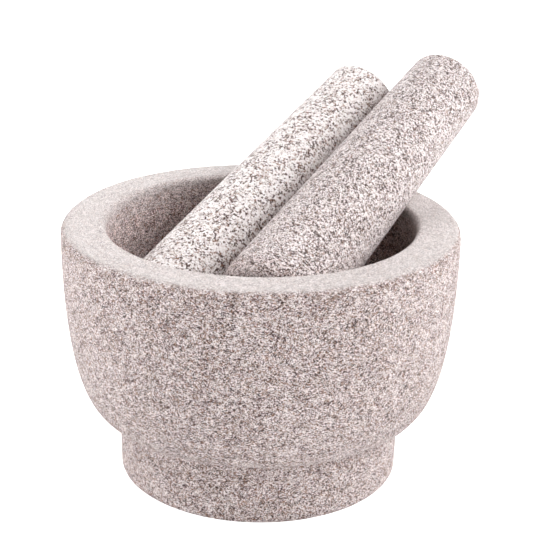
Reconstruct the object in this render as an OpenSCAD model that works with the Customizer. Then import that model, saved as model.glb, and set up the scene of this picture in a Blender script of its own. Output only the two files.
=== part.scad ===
// Granite mortar on a low foot, with two tapered granite pestles lying side by side across its bowl.
// Sizes are in millimetres. The mortar stands on z = 0, centred on the z axis, and its front faces -y.
// Each pestle's resting place is worked out from the sizes, so it touches nothing when a size changes.

/* [Mortar] */
// Outside diameter at the rim
mortar_diameter = 200; // [190:1:215]
// Height from the resting face to the top of the rim
mortar_height = 131.7; // [122:0.1:150]
// Diameter of the bowl's mouth, between the rounded inner edges
mouth_diameter = 155; // [146:1:164]
// Depth of the bowl at its middle
bowl_depth = 97; // [85:1:100]
// How full the bowl's wall is: 2 is an ellipse, more keeps the wall upright for longer
bowl_fullness = 2.4; // [2:0.1:2.8]
// Radius of the rounded outer edge of the rim
rim_outer_edge = 4; // [2:0.5:6]
// Radius of the rounded inner edge of the rim
rim_inner_edge = 3; // [2:0.5:4]

/* [Foot] */
// Diameter of the foot where it meets the body
foot_diameter = 145; // [130:1:155]
// Height of the foot
foot_height = 33.8; // [28:0.2:36]
// How much narrower the foot is on its resting face, across its diameter
foot_draft = 1.4; // [0:0.2:4]
// Radius of the softened edge round the resting face
foot_edge = 1.2; // [0.6:0.2:2]
// How square the body's side is above the foot: more keeps the side upright for longer
side_fullness = 3; // [2.4:0.1:3.6]
// How flat the body's underside runs into the foot
underside_fullness = 2.2; // [1.8:0.1:2.6]

/* [Pestles] */
// Length of a pestle
pestle_length = 193.5; // [170:0.5:220]
// Diameter of the wide grinding end
grinding_diameter = 52; // [46:0.5:54]
// Diameter of the narrow end that is held
grip_diameter = 41.5; // [36:0.5:44]
// Radius of the rounded edge of the grinding end
grinding_edge = 8; // [5:0.5:10]
// Radius of the rounded edge of the narrow end
grip_edge = 2; // [1:0.5:4]

/* [Resting places] */
// Lean of the right pestle above level, in degrees
right_lean = 21.7; // [20:0.1:26]
// Lean of the left pestle above level, in degrees
left_lean = 23.3; // [20:0.1:26]
// Compass heading of the right pestle's narrow end, in degrees from +x towards +y
right_heading = 57.3; // [45:0.1:65]
// How far the left pestle's heading is turned clockwise from the right one's, in degrees
heading_spread = 3.3; // [2.4:0.1:4]
// Distance of the right pestle's axis from the middle of the mortar, seen from above
right_offset = 35; // [30:0.1:37]

/* [Clearances] */
// Gap between a pestle and the mortar at the two places where it rests
rest_gap = 0.4; // [0.3:0.05:0.6]
// Gap between the two pestles
pestle_gap = 0.9; // [0.8:0.05:1.5]

/* [Hidden] */
$fn = 96;

// straight pieces in each long curve and in each rounded edge
curve_steps = 16;
edge_steps = 4;

mortar_radius = mortar_diameter / 2;
mouth_radius = mouth_diameter / 2;
foot_radius = foot_diameter / 2;
foot_low_radius = (foot_diameter - foot_draft) / 2;
grinding_radius = grinding_diameter / 2;
grip_radius = grip_diameter / 2;
left_heading = right_heading - heading_spread;

// the bowl's wall and the body's side both start where the rim's rounded edges end
wall_top = mortar_height - rim_inner_edge;
wall_depth = bowl_depth - rim_inner_edge;
side_top = mortar_height - rim_outer_edge;
side_drop = side_top - foot_height;
side_swell = mortar_radius - foot_radius;

// the circle that the rim's inner edge is rounded about
rim_ring_radius = mouth_radius + rim_inner_edge;

// taper of a pestle's side, and the circle that its grinding edge is rounded about
taper = atan((grinding_radius - grip_radius) / pestle_length);
grinding_ring = grinding_radius - grinding_edge * tan(taper) - grinding_edge / cos(taper);
grip_ring = grip_radius + grip_edge * tan(taper) - grip_edge / cos(taper);

// points of an arc about a centre, from one angle to another
function arc(centre, radius, from, to) = [
    for (i = [0:edge_steps])
        let (angle = from + (to - from) * i / edge_steps)
        centre + radius * [cos(angle), sin(angle)]
];

// the body's side, from the foot up to the rim's outer edge
function side_curve() = [
    for (i = [0:curve_steps])
        let (angle = 90 - 90 * i / curve_steps)
        [
            foot_radius + side_swell * pow(cos(angle), 2 / side_fullness),
            side_top - side_drop * pow(sin(angle), 2 / underside_fullness)
        ]
];

// the bowl's wall, from the rim's inner edge down to the middle of the floor
function bowl_curve() = [
    for (i = [0:curve_steps])
        let (angle = 90 * i / curve_steps)
        [
            i == curve_steps ? 0 : mouth_radius * cos(angle),
            wall_top - wall_depth * pow(sin(angle), 2 / bowl_fullness)
        ]
];

// radius of the open bowl at one height, with no limit above the rim
function open_radius(height) =
    height >= mortar_height ? 10 * mouth_radius
    : height >= wall_top ? rim_ring_radius - sqrt(pow(rim_inner_edge, 2) - pow(height - wall_top, 2))
    : height <= wall_top - wall_depth ? 0
    : mouth_radius * sqrt(1 - pow((wall_top - height) / wall_depth, bowl_fullness));

// A place is [distance along the heading, distance to the right of it, height] of a grinding end's middle.
function base_point(place, heading) =
    place[0] * [cos(heading), sin(heading), 0] + place[1] * [sin(heading), -cos(heading), 0] + [0, 0, place[2]];

// unit vector along a pestle, from its grinding end to its narrow end
function along(heading, lean) = [cos(lean) * cos(heading), cos(lean) * sin(heading), sin(lean)];

// gap between a pestle's side and the rounded inner edge of the rim on its far side
function rim_gap(base, dir) = min([
    for (angle = [0:1:359])
        let (
            to_ring = [rim_ring_radius * cos(angle), rim_ring_radius * sin(angle), wall_top] - base,
            reach = to_ring * dir,
            radius = grinding_radius - reach * tan(taper)
        )
        reach < pestle_length / 3 ? pestle_length
        : (norm(cross(to_ring, dir)) - radius) * cos(taper) - rim_inner_edge
]);

// gap between a pestle's rounded grinding edge and the bowl's wall, measured level
function wall_gap(base, dir, heading) =
    let (right = [sin(heading), -cos(heading), 0], up = cross(right, dir))
    min([
        for (turn = [0:5:355])
            for (tilt = [-90:15:0])
                let (
                    out = right * cos(turn) + up * sin(turn),
                    reach = grinding_ring + grinding_edge * cos(tilt),
                    spot = base + out * reach + dir * grinding_edge * (1 + sin(tilt))
                )
                open_radius(spot[2]) - norm([spot[0], spot[1]])
    ]);

// gap between the sides of two pestles, looked for along the first one's axis
function side_gap(base, dir, other_base, other_dir) = min([
    for (i = [0:12])
        let (
            reach = pestle_length * i / 12,
            from_other = base + dir * reach - other_base,
            other_reach = from_other * other_dir
        )
        norm(cross(from_other, other_dir)) - 2 * grinding_radius + (reach + other_reach) * tan(taper)
]);

// moves the right pestle off the wall and down to the rim, a little nearer at each step
function settle_right(place, steps) =
    steps == 0 ? place
    : let (base = base_point(place, right_heading), dir = along(right_heading, right_lean))
    settle_right([
        place[0] + rest_gap - wall_gap(base, dir, right_heading),
        place[1],
        place[2] + rest_gap - rim_gap(base, dir)
    ], steps - 1);

// does the same for the left pestle, and also keeps it beside the right one
function settle_left(place, steps) =
    steps == 0 ? place
    : let (base = base_point(place, left_heading), dir = along(left_heading, left_lean))
    settle_left([
        place[0] + rest_gap - wall_gap(base, dir, left_heading),
        place[1] - pestle_gap + side_gap(base, dir, right_base, along(right_heading, right_lean)),
        place[2] + rest_gap - rim_gap(base, dir)
    ], steps - 1);

right_base = base_point(settle_right([-50, right_offset, 0.8 * mortar_height], 30), right_heading);
left_base = base_point(settle_left([-60, right_offset - grinding_diameter, 0.7 * mortar_height], 30), left_heading);

// One turned block of granite: a flat foot, a full-bellied body, a broad flat rim and a round-bottomed bowl.
module mortar() {
    color([0.72, 0.66, 0.65])
        rotate_extrude()
            polygon(concat(
                [[0, 0]],
                arc([foot_low_radius - foot_edge, foot_edge], foot_edge, -90, 0),
                side_curve(),
                arc([mortar_radius - rim_outer_edge, side_top], rim_outer_edge, 0, 90),
                arc([rim_ring_radius, wall_top], rim_inner_edge, 90, 180),
                bowl_curve()
            ));
}

// One turned bar of granite standing on its grinding end: a plain taper with a flat at each end.
module pestle() {
    rotate_extrude()
        polygon(concat(
            [[0, 0]],
            arc([grinding_ring, grinding_edge], grinding_edge, -90, taper),
            arc([grip_ring, pestle_length - grip_edge], grip_edge, taper, 90),
            [[0, pestle_length]]
        ));
}

// the pestle nearer the left of the bowl
module pestle_left() {
    color([0.78, 0.74, 0.73])
        translate(left_base)
            rotate([0, 90 - left_lean, left_heading])
                pestle();
}

// the pestle nearer the right of the bowl, which reaches further out
module pestle_right() {
    color([0.70, 0.66, 0.65])
        translate(right_base)
            rotate([0, 90 - right_lean, right_heading])
                pestle();
}

mortar();
pestle_left();
pestle_right();
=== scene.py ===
import math

import bpy
from mathutils import Matrix, Vector, noise


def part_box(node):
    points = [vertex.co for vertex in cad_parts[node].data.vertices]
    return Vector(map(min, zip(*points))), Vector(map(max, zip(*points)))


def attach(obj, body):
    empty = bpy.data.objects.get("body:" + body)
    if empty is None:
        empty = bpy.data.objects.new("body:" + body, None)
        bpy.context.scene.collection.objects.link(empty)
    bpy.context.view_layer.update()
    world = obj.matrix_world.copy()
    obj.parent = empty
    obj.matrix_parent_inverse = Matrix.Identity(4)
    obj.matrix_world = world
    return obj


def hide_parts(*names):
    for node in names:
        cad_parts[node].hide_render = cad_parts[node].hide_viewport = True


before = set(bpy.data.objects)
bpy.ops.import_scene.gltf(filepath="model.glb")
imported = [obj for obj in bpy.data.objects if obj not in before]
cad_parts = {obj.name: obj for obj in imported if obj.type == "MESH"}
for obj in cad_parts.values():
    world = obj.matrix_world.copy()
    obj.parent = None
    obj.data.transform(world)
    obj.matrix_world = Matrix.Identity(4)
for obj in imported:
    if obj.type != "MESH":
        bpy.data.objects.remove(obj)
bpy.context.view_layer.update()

# --- Mortar -------------------------------------------------------------------------------------
# One block of pinkish grey granite, turned on a lathe: a short foot, a full body, a broad sawn rim
# and a round bowl. The outside is finely picked, the rim is rubbed smooth and the arrises are worn.

MM = 0.001
TURN = 2 * math.pi

mortar_low, mortar_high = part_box("mortar")
rim_radius = (mortar_high.y - mortar_low.y) / 2
rim_height = mortar_high.z
mouth_radius = 77.5 * MM
bowl_depth = 97 * MM
bowl_fullness = 2.4
rim_outer_edge = 4 * MM
rim_inner_edge = 3 * MM
foot_radius = 72.5 * MM
foot_low_radius = 71.8 * MM
foot_height = 33.8 * MM
foot_edge = 1.2 * MM
side_fullness = 3
underside_fullness = 2.2

# how far the rubbed neck above the foot reaches out, and the steps along the two long curves
neck_reach = 9 * MM
side_steps = 110
bowl_steps = 90

# depths in millimetres of the tool's marks on a fully picked face, and of nicks and dips on a worn arris
picked_sway = 0.16
picked_grit = 0.07
picked_pit = 0.34
worn_nick = 0.95
worn_sway = 0.22

# the power that eases a nick's edge into the face, and the share of the marks that a full rubbing takes away
nick_ease = 1.5
rubbed_away = 0.6

# how far each stone's seed moves its grain and marks along x, y and z
seed_strides = (3.17, 1.31, 2.23)


def straight(start, end, steps):
    """Points of a straight run of the outline, without its last one."""
    return [tuple(a + (b - a) * i / steps for a, b in zip(start, end)) for i in range(steps)]


def rounded(centre, radius, start, end, steps):
    """Points of a rounded edge about a centre, between two angles in degrees."""
    angles = [math.radians(start + (end - start) * i / steps) for i in range(steps + 1)]
    return [(centre[0] + radius * math.cos(a), centre[1] + radius * math.sin(a)) for a in angles]


def side_point(turn):
    """A point of the body's side: turn 1 is at the foot and turn 0 at the rim's outer edge."""
    angle = turn * math.pi / 2
    top = rim_height - rim_outer_edge
    swell = (rim_radius - foot_radius) * max(math.cos(angle), 0) ** (2 / side_fullness)
    drop = (top - foot_height) * math.sin(angle) ** (2 / underside_fullness)
    return foot_radius + swell, top - drop


def bowl_point(turn):
    """A point of the bowl's wall: turn 0 is at the rim's inner edge and turn 1 at the floor's middle."""
    angle = turn * math.pi / 2
    drop = (bowl_depth - rim_inner_edge) * math.sin(angle) ** (2 / bowl_fullness)
    return mouth_radius * math.cos(angle), rim_height - rim_inner_edge - drop


def stretch(points, rubbed=0.0, used=0.0, worn=0.0, held=0.0):
    """Gives a run of outline points its finish, each mark from 0 to 1.

    It can be rubbed smooth and paled with dust and a painted sheen, used for grinding, which stains it and
    can paint light on it, worn as an arris, or held to the turned shape.
    """
    return [(r, z, rubbed, used, worn, held) for r, z in points]


def sway(place, per_metre):
    """Smooth noise from 0 to 1, with so many waves to a metre."""
    return 0.5 + 0.5 * noise.noise(place * per_metre)


def dent(place, per_metre, sharpness, draw_scale, bare_below):
    """Scattered conical dents: 1 at a dent's middle, 0 outside it. A cell with a low draw has none."""
    near, centres = noise.voronoi(place * per_metre)
    draw = noise.cell(centres[0] * draw_scale)
    return max(0.0, 1 - near[0] * sharpness) if draw > bare_below else 0.0


def picked_depth(place, worn, picked):
    """How far the surface lies under the turned shape, in metres.

    picked is 1 for a picked face and less for a ground one.
    """
    broad = sway(place, per_metre=28)
    grit = sway(place, per_metre=420)
    pit = dent(place, per_metre=210, sharpness=2.6, draw_scale=7.3, bare_below=0.55)
    depth = picked * (picked_sway * broad + picked_grit * grit + picked_pit * pit)
    if worn:
        nick = dent(place, per_metre=95, sharpness=1.9, draw_scale=5.1, bare_below=0.35)
        depth += worn * (worn_nick * nick ** nick_ease + worn_sway * broad)
    return depth * MM


def turned_faces(around, rings):
    """Faces between rings of points, closed by a fan round the first point and one round the last."""
    faces = [(0, 1 + (k + 1) % around, 1 + k) for k in range(around)]
    for i in range(rings - 1):
        low, high = 1 + i * around, 1 + (i + 1) * around
        for k in range(around):
            faces.append((low + k, low + (k + 1) % around, high + (k + 1) % around, high + k))
    last = 1 + rings * around
    ring = last - around
    return faces + [(last, ring + k, ring + (k + 1) % around) for k in range(around)]


def turned_stone(name, outline, around, seed, picked):
    """A closed stone turned about its z axis from an outline that starts and ends on the axis."""
    ends = [(0, outline[0][1]), *[(o[0], o[1]) for o in outline[1:-1]], (0, outline[-1][1])]
    points, marks, grain_place = [], [], []
    shift = Vector([seed * stride for stride in seed_strides])
    reach = 0.0
    for i, (radius, height) in enumerate(ends):
        before, after = ends[max(i - 1, 0)], ends[min(i + 1, len(ends) - 1)]
        run = Vector((after[0] - before[0], after[1] - before[1])).normalized()
        reach += math.dist(before, ends[i])
        _, _, rubbed, used, worn, held = outline[i]
        on_axis = i in (0, len(ends) - 1)
        for k in range(1 if on_axis else around):
            angle = TURN * k / around
            facing = Vector((run.y * math.cos(angle), run.y * math.sin(angle), -run.x))
            place = Vector((radius * math.cos(angle), radius * math.sin(angle), height))
            depth = picked_depth(place + shift, worn, picked) * (1 - held) * (1 - rubbed_away * rubbed)
            points.append(place - facing * depth)
            marks.append((rubbed, used, worn))
            grain_place.append((place.x + shift.x, place.y + shift.y, reach))
    faces = turned_faces(around, rings=len(ends) - 2)
    mesh = bpy.data.meshes.new(name)
    mesh.from_pydata(points, [], faces)
    mesh.polygons.foreach_set("use_smooth", [True] * len(faces))
    for column, title in enumerate(("rubbed", "used", "worn")):
        layer = mesh.attributes.new(title, "FLOAT", "POINT")
        layer.data.foreach_set("value", [mark[column] for mark in marks])
    layer = mesh.attributes.new("grain_place", "FLOAT_VECTOR", "POINT")
    layer.data.foreach_set("vector", [c for place in grain_place for c in place])
    mesh.update()
    stone = bpy.data.objects.new(name, mesh)
    bpy.context.scene.collection.objects.link(stone)
    return stone


def add(tree, kind, sockets=None, **settings):
    """Adds a node, sets its properties, and gives each named socket a value or a link."""
    made = tree.nodes.new(kind)
    for title, value in settings.items():
        setattr(made, title, value)
    for title, value in (sockets or {}).items():
        if isinstance(value, bpy.types.NodeSocket):
            tree.links.new(value, made.inputs[title])
        else:
            made.inputs[title].default_value = value
    return made


def maths(tree, operation, first, second=0.0, clamp=False):
    """The result of one sum on two values or sockets."""
    made = add(tree, "ShaderNodeMath", {0: first, 1: second}, operation=operation, use_clamp=clamp)
    return made.outputs[0]


def raised(tree, start, value, share):
    """A value or socket raised by a share of another one."""
    return maths(tree, "ADD", start, maths(tree, "MULTIPLY", value, share))


def lowered(tree, start, value, share):
    """A value or socket lowered by a share of another one."""
    return maths(tree, "SUBTRACT", start, maths(tree, "MULTIPLY", value, share))


def vector_maths(tree, operation, first, second):
    """The result of one sum on two vectors, or of scaling a vector by a value."""
    sockets = {0: first, "Scale" if operation == "SCALE" else 1: second}
    return add(tree, "ShaderNodeVectorMath", sockets, operation=operation).outputs[0]


def mottle(tree, place, scale, detail):
    """The outputs of a smooth noise: Fac is one value, and Color holds three."""
    return add(tree, "ShaderNodeTexNoise", {"Vector": place, "Scale": scale, "Detail": detail}).outputs


def channels(tree, colour):
    """The three values of a colour: Red, Green and Blue."""
    return add(tree, "ShaderNodeSeparateColor", {"Color": colour}).outputs


def soft_step(tree, value, edge, half):
    """0 below an edge and 1 above it, eased over half on both sides."""
    low = maths(tree, "SUBTRACT", edge, half)
    high = maths(tree, "ADD", edge, half)
    sockets = {"Value": value, 1: low, 2: high}
    return add(tree, "ShaderNodeMapRange", sockets, interpolation_type="SMOOTHSTEP").outputs[0]


def blended(tree, amount, first, second, mode="MIX"):
    """Two colours mixed by an amount, each a value or a socket."""
    sockets = {"Factor": amount, 6: first, 7: second}
    return add(tree, "ShaderNodeMix", sockets, data_type="RGBA", blend_type=mode).outputs[2]


def effect(name, inputs, outputs):
    """An empty shader node group with named inputs and outputs."""
    group = bpy.data.node_groups.new(name, "ShaderNodeTree")
    for title, kind, default in inputs:
        socket = group.interface.new_socket(title, in_out="INPUT", socket_type="NodeSocket" + kind)
        if default is not None:
            socket.default_value = default
    for title, kind in outputs:
        group.interface.new_socket(title, in_out="OUTPUT", socket_type="NodeSocket" + kind)
    return group, group.nodes.new("NodeGroupInput").outputs, group.nodes.new("NodeGroupOutput").inputs


# how far the grains' edges bend, in grains, and how softly quartz and mica take over from feldspar
grain_bend = 1.2
quartz_softness = 0.16
mica_softness = 0.08

# where in a broad noise the smoky quartz begins, and where it is full
smoky_from = 0.4
smoky_full = 0.6

# how closely rust and dark specks follow the darker patches, and how fully a speck covers
rust_follows = 0.3
speck_follows = 0.4
speck_cover = 0.9

# how far the grains' edges and the mica lie below the grit
grain_edge_drop = 0.3
mica_drop = 0.25


def grain_effect():
    """Granite's grains: pink and white feldspar, grey and smoky quartz, and dark mica.

    A few larger grains are dark specks or rusty.
    """
    group, given, out = effect("granite grain", [
        ("Place", "Vector", None), ("Grain Size", "Float", 1.0), ("Turning Stretch", "Float", 1.0),
        ("Coarse Part", "Float", 0.4), ("Quartz From", "Float", 0.45), ("Mica From", "Float", 0.8),
        ("Speck Share", "Float", 0.03), ("Rust Share", "Float", 0.03), ("Clustering", "Float", 0.2),
        ("Feldspar", "Color", (0.8, 0.7, 0.7, 1)), ("White Feldspar", "Color", (0.8, 0.75, 0.75, 1)),
        ("Quartz", "Color", (0.5, 0.45, 0.45, 1)), ("Smoky Quartz", "Color", (0.4, 0.3, 0.25, 1)),
        ("Mica", "Color", (0.05, 0.04, 0.04, 1)), ("Rust", "Color", (0.3, 0.2, 0.1, 1)),
    ], [("Color", "Color"), ("Height", "Float")])

    # the place in the stone, counted in grains, and the same with wandering edges
    scale = maths(group, "DIVIDE", 1 / MM, given["Grain Size"])
    axes = add(group, "ShaderNodeSeparateXYZ", {"Vector": given["Place"]}).outputs
    along = maths(group, "MULTIPLY", axes["Z"], given["Turning Stretch"])
    grains = add(group, "ShaderNodeCombineXYZ", {"X": axes["X"], "Y": axes["Y"], "Z": along}).outputs[0]
    grains = vector_maths(group, "SCALE", grains, scale)
    bend = mottle(group, grains, scale=0.8, detail=1.0)["Color"]
    bend = vector_maths(group, "SUBTRACT", bend, (0.5, 0.5, 0.5))
    bend = vector_maths(group, "SCALE", bend, grain_bend)
    bent = vector_maths(group, "ADD", grains, bend)

    # each grain's own draws, and the tone that says which mineral it is
    fine = add(group, "ShaderNodeTexVoronoi", {"Vector": bent, "Scale": 1.0}).outputs
    fine_pick = channels(group, fine["Color"])
    coarse = add(group, "ShaderNodeTexVoronoi", {"Vector": bent, "Scale": 0.5}).outputs
    coarse_pick = channels(group, coarse["Color"])
    patches = mottle(group, grains, scale=0.09, detail=3.0)
    lean = maths(group, "MULTIPLY", maths(group, "SUBTRACT", patches["Fac"], 0.5), given["Clustering"])
    sockets = {"Factor": given["Coarse Part"], 2: fine_pick["Red"], 3: coarse_pick["Red"]}
    tone = add(group, "ShaderNodeMix", sockets).outputs[0]
    tone = maths(group, "ADD", tone, lean)

    # the minerals' colours, the rusty grains and the dark specks
    warmth = channels(group, patches["Color"])["Green"]
    warmth = add(group, "ShaderNodeMapRange", {"Value": warmth, 1: smoky_from, 2: smoky_full}).outputs[0]
    half_pick = maths(group, "MULTIPLY", coarse_pick["Green"], 0.5)
    half_warmth = maths(group, "MULTIPLY", warmth, 0.5)
    tint = maths(group, "ADD", half_pick, half_warmth)
    quartz = blended(group, tint, given["Quartz"], given["Smoky Quartz"])
    feldspar = blended(group, fine_pick["Green"], given["Feldspar"], given["White Feldspar"])
    quartz_part = soft_step(group, tone, given["Quartz From"], quartz_softness)
    colour = blended(group, quartz_part, feldspar, quartz)
    mica_part = soft_step(group, tone, given["Mica From"], mica_softness)
    colour = blended(group, mica_part, colour, given["Mica"])
    rust_share = raised(group, given["Rust Share"], lean, rust_follows)
    rust = maths(group, "LESS_THAN", coarse_pick["Blue"], rust_share)
    rust = maths(group, "MULTIPLY", rust, fine_pick["Green"])
    colour = blended(group, rust, colour, given["Rust"])
    speck_share = raised(group, given["Speck Share"], lean, speck_follows)
    speck = maths(group, "LESS_THAN", maths(group, "SUBTRACT", 1.0, coarse_pick["Blue"]), speck_share)
    speck = maths(group, "MULTIPLY", speck, speck_cover)
    colour = blended(group, speck, colour, given["Mica"])
    group.links.new(colour, out["Color"])

    # the relief: fine grit, lower at the grains' edges and on mica
    grit = mottle(group, grains, scale=1.3, detail=3.0)["Fac"]
    height = lowered(group, grit, fine["Distance"], grain_edge_drop)
    height = lowered(group, height, mica_part, mica_drop)
    group.links.new(height, out["Height"])
    return group


# how many times faster the turning rings change along the outline than round the stone
ring_squeeze = 14

# the least dust and painted sheen on a rubbed face and how much more there may be, by its patches and by its
# rings
patch_least = 0.7
patch_more = 0.6
ring_least = 0.45
ring_more = 1.1

# where in a fine noise the knocks of an arris begin, and where they are full of dirt
knock_from = 0.55
knock_full = 0.68

# use multiplies the grain's colour by a mix of the stain and that colour, with this share of the colour;
# a stain above 1 makes the mix painted light, which brightens the grain and raises its contrast
grain_in_stain_and_light = 0.6

# the shares of the relief that rubbing takes away and use adds, and what rubbing takes off the roughness
rubbed_flatter = 0.8
used_coarser = 1.2
rubbed_smoother = 0.12


def finish_effect():
    """What rubbing, wear and use do to the grain, and the rings that turning leaves.

    Rubbing pales it with stone dust and a painted sheen, and flattens its relief. Worn arrises hold dirt.
    Use brings out the grain's contrast, tints it with the stain, paints light where the stain lies above 1,
    and leaves its relief coarser.
    """
    group, given, out = effect("stone finish", [
        ("Color", "Color", (0.5, 0.5, 0.5, 1)), ("Height", "Float", 0.5), ("Place", "Vector", None),
        ("Rubbed", "Float", 0.0), ("Worn", "Float", 0.0), ("Used", "Float", 0.0),
        ("Dust And Painted Sheen", "Color", (0.8, 0.75, 0.74, 1)), ("Dirt", "Color", (0.25, 0.18, 0.15, 1)),
        ("Stain And Painted Light", "Color", (0.5, 0.45, 0.42, 1)), ("Roughness", "Float", 0.8),
    ], [("Color", "Color"), ("Height", "Float"), ("Roughness", "Float"), ("Rings", "Float")])

    # stone dust and a painted sheen on rubbed faces, uneven and ringed
    patch = mottle(group, given["Place"], scale=90.0, detail=4.0)["Fac"]
    uneven = raised(group, patch_least, patch, patch_more)
    ring_place = vector_maths(group, "MULTIPLY", given["Place"], (1, 1, ring_squeeze))
    rings = mottle(group, ring_place, scale=70.0, detail=3.0)["Fac"]
    ringed = raised(group, ring_least, rings, ring_more)
    pale = maths(group, "MULTIPLY", given["Rubbed"], uneven)
    pale = maths(group, "MULTIPLY", pale, ringed, clamp=True)
    colour = blended(group, pale, given["Color"], given["Dust And Painted Sheen"])

    # dirt in the knocks of worn arrises
    knocks = mottle(group, given["Place"], scale=480.0, detail=3.0)["Fac"]
    knocked = add(group, "ShaderNodeMapRange", {"Value": knocks, 1: knock_from, 2: knock_full}).outputs[0]
    knocked = maths(group, "MULTIPLY", knocked, given["Worn"], clamp=True)
    colour = blended(group, knocked, colour, given["Dirt"])

    # the stain of use, and painted light where the stain lies above 1: in the mortar's shaded bowl it
    # brightens the grain
    stained_and_lit = maths(group, "MULTIPLY", given["Used"], uneven, clamp=True)
    stain_and_light = blended(group, grain_in_stain_and_light, given["Stain And Painted Light"], colour)
    colour = blended(group, stained_and_lit, colour, stain_and_light, mode="MULTIPLY")
    group.links.new(colour, out["Color"])

    # the relief and the roughness that are left
    relief = lowered(group, 1.0, given["Rubbed"], rubbed_flatter)
    relief = raised(group, relief, given["Used"], used_coarser)
    group.links.new(maths(group, "MULTIPLY", given["Height"], relief), out["Height"])
    smoother = lowered(group, given["Roughness"], given["Rubbed"], rubbed_smoother)
    group.links.new(smoother, out["Roughness"])
    group.links.new(rings, out["Rings"])
    return group


granite_grain = grain_effect()
stone_finish = finish_effect()


def granite(name, stone_values, finish_values, relief, rings):
    """A granite for one stone: the shared grain and finish with that stone's own values.

    relief and rings are the heights of the grain's relief and of the turning rings, in millimetres.
    """
    material = bpy.data.materials.new(name)
    material.use_nodes = True
    tree = material.node_tree
    skin = tree.nodes["Principled BSDF"]
    place = add(tree, "ShaderNodeAttribute", attribute_name="grain_place").outputs["Vector"]
    marks = {
        title.capitalize(): add(tree, "ShaderNodeAttribute", attribute_name=title).outputs["Fac"]
        for title in ("rubbed", "worn", "used")
    }
    body = add(tree, "ShaderNodeGroup", {"Place": place, **stone_values}, node_tree=granite_grain).outputs
    surface = add(tree, "ShaderNodeGroup", {
        "Place": place, "Color": body["Color"], "Height": body["Height"], **marks, **finish_values,
    }, node_tree=stone_finish).outputs
    tree.links.new(surface["Color"], skin.inputs["Base Color"])
    tree.links.new(surface["Roughness"], skin.inputs["Roughness"])
    ring_bump = add(tree, "ShaderNodeBump", {"Height": surface["Rings"], "Distance": rings * MM})
    bump = add(tree, "ShaderNodeBump", {
        "Height": surface["Height"], "Distance": relief * MM, "Normal": ring_bump.outputs["Normal"],
    })
    tree.links.new(bump.outputs["Normal"], skin.inputs["Normal"])
    skin.inputs["Specular IOR Level"].default_value = 0.25
    skin.inputs["Sheen Weight"].default_value = 0.1
    skin.inputs["Sheen Roughness"].default_value = 0.6
    return material


def mortar_outline():
    """The mortar's outline, from the middle of its underside round to the middle of the bowl's floor."""
    foot_round = (foot_low_radius - foot_edge, foot_edge)
    outer_round = (rim_radius - rim_outer_edge, rim_height - rim_outer_edge)
    inner_round = (mouth_radius + rim_inner_edge, rim_height - rim_inner_edge)
    rim_out, rim_in = (outer_round[0], rim_height), (inner_round[0], rim_height)
    side = [side_point(1 - i / side_steps) for i in range(side_steps + 1)]
    neck = [point for point in side if point[0] < foot_radius + neck_reach]
    side = side[len(neck):]
    bowl = [bowl_point(i / bowl_steps) for i in range(1, bowl_steps + 1)]
    outer = rounded(outer_round, rim_outer_edge, 0, 90, steps=8)
    inner = rounded(inner_round, rim_inner_edge, 90, 180, steps=7)
    return [
        *stretch(straight((0, 0), (foot_round[0], 0), steps=20), held=1.0),
        *stretch(rounded(foot_round, foot_edge, -90, 0, steps=5), worn=0.5, held=0.3),
        *stretch(straight((foot_low_radius, foot_edge), (foot_radius, foot_height), steps=22)[1:]),
        # the rubbed neck is paled with dust and a painted sheen, which gives a lower-contrast band
        *stretch(neck, rubbed=0.45),
        *stretch(side[:-2]),
        *stretch(side[-2:-1], worn=0.3),
        *stretch(outer[:4], worn=0.7),
        # rubbing pales the rim's outer arris and its top with dust and a painted sheen and light from above
        *stretch(outer[4:5], rubbed=0.1, worn=0.9),
        *stretch(outer[5:6], rubbed=0.35, worn=0.6),
        *stretch(outer[6:], rubbed=0.5, worn=0.25),
        *stretch(straight(rim_out, rim_in, steps=12)[1:], rubbed=0.5),
        *stretch(inner, rubbed=0.4, worn=0.2),
        # use in the bowl multiplies its grain by the mortar's stain, which lies above 1: painted light that
        # brightens the shaded bowl and raises its grain's contrast
        *stretch(bowl[:3], rubbed=0.15, used=0.3),
        *stretch(bowl[3:], used=0.5),
    ]


mortar = turned_stone("mortar_stone", mortar_outline(), around=360, seed=1, picked=1.0)
mortar.data.materials.append(granite(
    "mortar granite",
    {
        "Grain Size": 0.39, "Turning Stretch": 1.2, "Coarse Part": 0.28,
        "Quartz From": 0.475, "Mica From": 0.735,
        "Speck Share": 0.045, "Rust Share": 0.12, "Clustering": 0.42,
        "Feldspar": (0.78, 0.635, 0.605, 1), "White Feldspar": (0.84, 0.80, 0.80, 1),
        "Quartz": (0.225, 0.135, 0.145, 1), "Smoky Quartz": (0.21, 0.125, 0.08, 1),
        "Mica": (0.035, 0.012, 0.01, 1), "Rust": (0.26, 0.115, 0.06, 1),
    },
    {
        # the stain above 1 paints light into the shaded bowl, and the dust also paints a sheen on the rubbed
        # rim and neck
        "Dust And Painted Sheen": (0.555, 0.515, 0.50, 1), "Dirt": (0.22, 0.15, 0.12, 1), "Stain And Painted Light": (2.95, 2.72, 2.72, 1),
        "Roughness": 0.85,
    },
    relief=0.32, rings=0.2,
))
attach(mortar, "mortar")
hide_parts("mortar")

# --- Pestles ------------------------------------------------------------------------------------
# Two bars of the same quarry's granite, turned to a plain taper and ground smooth, each with a flat at
# both ends. The left one is paler with separate dark specks, the right one greyer and finer.

grinding_radius = 26 * MM
grip_radius = 20.75 * MM
grinding_edge = 8 * MM
grip_edge = 2 * MM


def bar_ends(node):
    """The middles of a bar's two flat ends, low one first: its flats are the widest faces turned one way."""
    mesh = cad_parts[node].data
    flats = {}
    for face in mesh.polygons:
        key = tuple(round(c, 2) for c in face.normal)
        area, moment = flats.get(key, (0.0, Vector((0, 0, 0))))
        flats[key] = (area + face.area, moment + face.center * face.area)
    widest = sorted(flats.values(), key=lambda flat: flat[0])[-2:]
    return sorted((moment / area for area, moment in widest), key=lambda middle: middle.z)


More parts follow.
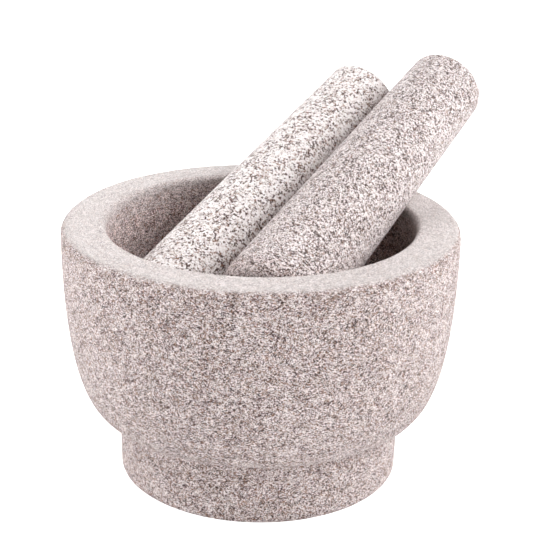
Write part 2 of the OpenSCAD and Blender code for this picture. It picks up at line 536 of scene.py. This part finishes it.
def pestle_outline(length):
    """A pestle's outline along its own axis, from the middle of its grinding end to that of its grip end."""
    taper = math.atan((grinding_radius - grip_radius) / length)
    low = grinding_radius - grinding_edge * (math.tan(taper) + 1 / math.cos(taper))
    high = grip_radius + grip_edge * (math.tan(taper) - 1 / math.cos(taper))
    tilt = math.degrees(taper)
    low_round = rounded((low, grinding_edge), grinding_edge, -90, tilt, steps=10)
    high_round = rounded((high, length - grip_edge), grip_edge, tilt, 90, steps=5)
    return [
        *stretch(straight((0, 0), (low, 0), steps=14), used=0.6),
        *stretch(low_round, used=0.45, worn=0.15),
        *stretch(straight(low_round[-1], high_round[0], steps=130)[1:]),
        *stretch(high_round, rubbed=0.2, worn=0.8),
        *stretch(straight((high, length), (0, length), steps=14)[1:], rubbed=0.1),
        *stretch([(0, length)], rubbed=0.1),
    ]


def pestle(name, node, seed, spin, material):
    """One pestle on the axis of its CAD node, turned about that axis by a spin in degrees."""
    low, high = bar_ends(node)
    along = (high - low).normalized()
    bar = turned_stone(name, pestle_outline((high - low).length), around=180, seed=seed, picked=0.35)
    bar.data.materials.append(material)
    turn = along.to_track_quat("Z", "Y").to_matrix().to_4x4() @ Matrix.Rotation(math.radians(spin), 4, "Z")
    bar.data.transform(Matrix.Translation(low) @ turn)
    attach(bar, node)
    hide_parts(node)
    return bar


left = pestle("pestle_left_stone", "pestle_left", seed=2, spin=20, material=granite(
    "pale granite",
    {
        "Grain Size": 0.52, "Turning Stretch": 1.0, "Coarse Part": 0.5,
        "Quartz From": 0.62, "Mica From": 0.74,
        "Speck Share": 0.065, "Rust Share": 0.08, "Clustering": 0.45,
        "Feldspar": (0.67, 0.585, 0.565, 1), "White Feldspar": (0.84, 0.81, 0.805, 1),
        "Quartz": (0.34, 0.24, 0.22, 1), "Smoky Quartz": (0.28, 0.185, 0.125, 1),
        "Mica": (0.055, 0.02, 0.015, 1), "Rust": (0.24, 0.115, 0.07, 1),
    },
    {
        # the stain above 1 deepens the darker grains at the grinding end, and the dust also paints a sheen
        # on the grip end
        "Dust And Painted Sheen": (0.68, 0.63, 0.62, 1), "Dirt": (0.22, 0.165, 0.14, 1), "Stain And Painted Light": (1.3, 1.2, 1.18, 1),
        "Roughness": 0.75,
    },
    relief=0.2, rings=0.05,
))

right = pestle("pestle_right_stone", "pestle_right", seed=3, spin=70, material=granite(
    "grey granite",
    {
        "Grain Size": 0.43, "Turning Stretch": 1.0, "Coarse Part": 0.34,
        "Quartz From": 0.51, "Mica From": 0.70,
        "Speck Share": 0.07, "Rust Share": 0.08, "Clustering": 0.34,
        "Feldspar": (0.70, 0.595, 0.58, 1), "White Feldspar": (0.82, 0.775, 0.77, 1),
        "Quartz": (0.23, 0.15, 0.15, 1), "Smoky Quartz": (0.21, 0.135, 0.095, 1),
        "Mica": (0.04, 0.015, 0.012, 1), "Rust": (0.22, 0.11, 0.07, 1),
    },
    {
        # the stain above 1 deepens the darker grains at the grinding end, and the dust also paints a sheen
        # on the grip end
        "Dust And Painted Sheen": (0.66, 0.60, 0.59, 1), "Dirt": (0.20, 0.15, 0.125, 1), "Stain And Painted Light": (1.3, 1.2, 1.18, 1),
        "Roughness": 0.75,
    },
    relief=0.2, rings=0.05,
))

# --- Studio -------------------------------------------------------------------------------------
# White paper in a plain white room. Three softboxes light the stones from the right and two from the
# left, the right side the stronger, with weak fills at the front and a stronger one at the back.

scene = bpy.context.scene
scene.view_settings.view_transform = "Standard"

# what the lights face, how far off they stand, their width, and the height of the low ones
light_aim = Vector((0, 0, 0.1))
box_distance = 1.8
box_width = 1.05
low_box_height = 0.75
lamp_colour = (0.98, 1.0, 1.01)


def softbox(name, turn, rise, power, height=box_width):
    """A rectangular soft light: turn is its bearing from +x in degrees, and rise its elevation."""
    across, up = math.radians(turn), math.radians(rise)
    outward = Vector((math.cos(across) * math.cos(up), math.sin(across) * math.cos(up), math.sin(up)))
    place = light_aim + box_distance * outward
    lamp = bpy.data.lights.new(name, "AREA")
    lamp.shape = "RECTANGLE"
    lamp.size, lamp.size_y = box_width, height
    lamp.energy = power
    lamp.color = lamp_colour
    holder = bpy.data.objects.new(name, lamp)
    holder.location = place
    holder.rotation_euler = (light_aim - place).to_track_quat("-Z", "Y").to_euler()
    scene.collection.objects.link(holder)


softbox("right back softbox", turn=30, rise=28, power=28.5)
softbox("right front softbox", turn=-30, rise=28, power=22.5)
softbox("right high softbox", turn=-20, rise=55, power=9)
softbox("left softbox", turn=180, rise=48, power=27.5)
softbox("low left fill", turn=180, rise=12, power=13.5, height=low_box_height)
softbox("left front fill", turn=-150, rise=12, power=5, height=low_box_height)
softbox("front fill", turn=-90, rise=12, power=4.5, height=low_box_height)
softbox("back fill", turn=90, rise=12, power=20, height=low_box_height)

WHITE = (1, 1, 1, 1)

# the room's strength as a light and as the camera sees it
room_light = 0.01
room_seen = 1.1


def white_room():
    """The room round the softboxes. Its walls give little light, and the camera sees them as plain white."""
    world = bpy.data.worlds.new("white room")
    world.use_nodes = True
    tree = world.node_tree
    tree.nodes.clear()
    lit = add(tree, "ShaderNodeBackground", {"Color": WHITE, "Strength": room_light}).outputs[0]
    seen = add(tree, "ShaderNodeBackground", {"Color": WHITE, "Strength": room_seen}).outputs[0]
    camera_ray = add(tree, "ShaderNodeLightPath").outputs["Is Camera Ray"]
    mixed = add(tree, "ShaderNodeMixShader", {0: camera_ray, 1: lit, 2: seen}).outputs[0]
    add(tree, "ShaderNodeOutputWorld", {"Surface": mixed})
    return world


scene.world = white_room()

# how far the paper reaches from the mortar, its glow as a light, and what the camera sees on top of that
paper_reach = 6.0
paper_glow = 0.02
paper_seen = 0.98


def white_paper():
    """Matt white paper that hardly glows. The camera sees it as plain white too, so no horizon shows."""
    material = bpy.data.materials.new("white paper")
    material.use_nodes = True
    tree = material.node_tree
    skin = tree.nodes["Principled BSDF"]
    skin.inputs["Base Color"].default_value = (0.88, 0.88, 0.88, 1)
    skin.inputs["Roughness"].default_value = 1.0
    skin.inputs["Specular IOR Level"].default_value = 0.0
    skin.inputs["Emission Color"].default_value = WHITE
    camera_ray = add(tree, "ShaderNodeLightPath").outputs["Is Camera Ray"]
    glow = maths(tree, "ADD", maths(tree, "MULTIPLY", camera_ray, paper_seen), paper_glow)
    tree.links.new(glow, skin.inputs["Emission Strength"])
    return material


corners = [(x * paper_reach, y * paper_reach, 0) for x, y in ((-1, -1), (1, -1), (1, 1), (-1, 1))]
floor_mesh = bpy.data.meshes.new("floor")
floor_mesh.from_pydata(corners, [], [(0, 1, 2, 3)])
floor = bpy.data.objects.new("floor", floor_mesh)
scene.collection.objects.link(floor)
floor.data.materials.append(white_paper())

# the camera stands in front, above the rim, and is rolled a little
camera_rise = math.radians(20.5)
camera_roll = math.radians(0.85)
camera_distance = 0.7904
camera_aim = Vector((0.003, 0, 0.1069))
lens = bpy.data.cameras.new("camera")
lens.lens = 105.5
lens.sensor_width = 36
camera = bpy.data.objects.new("camera", lens)
back = Vector((0, -math.cos(camera_rise), math.sin(camera_rise)))
look = Matrix.Rotation(math.pi / 2 - camera_rise, 4, "X") @ Matrix.Rotation(camera_roll, 4, "Z")
camera.matrix_world = Matrix.Translation(camera_aim + back * camera_distance) @ look
scene.collection.objects.link(camera)
scene.camera = camera
